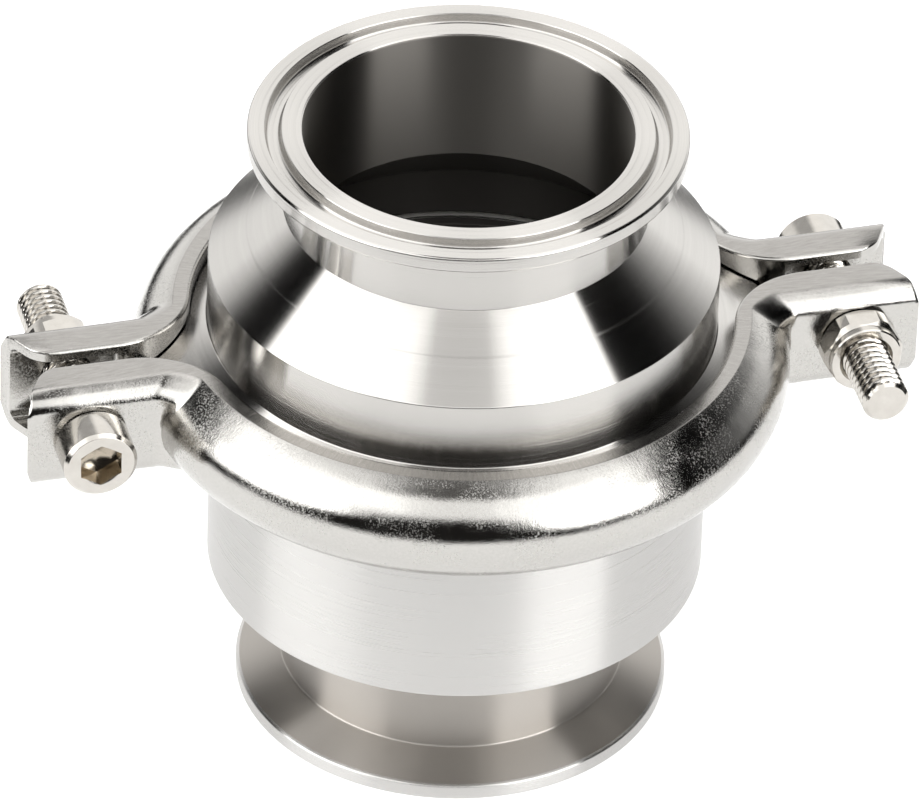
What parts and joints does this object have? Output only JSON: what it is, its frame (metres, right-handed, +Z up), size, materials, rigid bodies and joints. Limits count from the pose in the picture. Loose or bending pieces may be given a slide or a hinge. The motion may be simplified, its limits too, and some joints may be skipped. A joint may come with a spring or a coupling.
{
  "type": "spring check valve",
  "caption": "Straight spring check valve with sanitary clamp ends, its two turned body halves held together by a bolted two-piece clamp.",
  "frame": {"origin": "centre of the bottom port's sealing face, on the valve's axis", "axes": "+Z up along the valve's axis, the way the fluid flows; X along the body clamp's two lugs; Y along the two clamp screws"},
  "size_m": [0.134, 0.0964, 0.098],
  "materials": {
    "body_steel": "lathe-turned stainless steel with fine circular tool lines, satin to bright",
    "clamp_steel": "polished stainless steel with slight orange peel, ground flat on the edges",
    "fastener_steel": "plain stainless steel fasteners, slightly warm",
    "stem_steel": "turned stainless steel",
    "spring_steel": "drawn stainless spring wire",
    "joint_gasket": "white elastomer gasket",
    "seal_rubber": "black elastomer seal ring",
    "bush_plastic": "white low-friction plastic"
  },
  "bodies": {
    "housing": {"upper_body": "body_steel", "lower_body": "body_steel", "body_gasket": "joint_gasket", "clamp_half_front": "clamp_steel", "clamp_half_rear": "clamp_steel", "clamp_screw_left": "fastener_steel", "clamp_screw_right": "fastener_steel", "clamp_nut_left": "fastener_steel", "clamp_nut_right": "fastener_steel", "guide_spider": "body_steel", "guide_bush": "bush_plastic", "snap_ring": "spring_steel", "spring": "spring_steel"},
    "disc_assembly": {"valve_disc": "stem_steel", "disc_seal": "seal_rubber", "seal_retainer": "stem_steel", "stem": "stem_steel", "stem_nut_top": "fastener_steel", "stem_nut_bottom": "fastener_steel", "spring_collar": "stem_steel"}
  },
  "joints": [
    {"name": "disc_lift", "type": "slide", "parent": "housing", "child": "disc_assembly", "axis": [0, 0, 1], "range_m": [0, 0.009], "stiffness_N_per_m": 1000, "springref_m": -0.009, "deforming": ["spring"]}
  ]
}
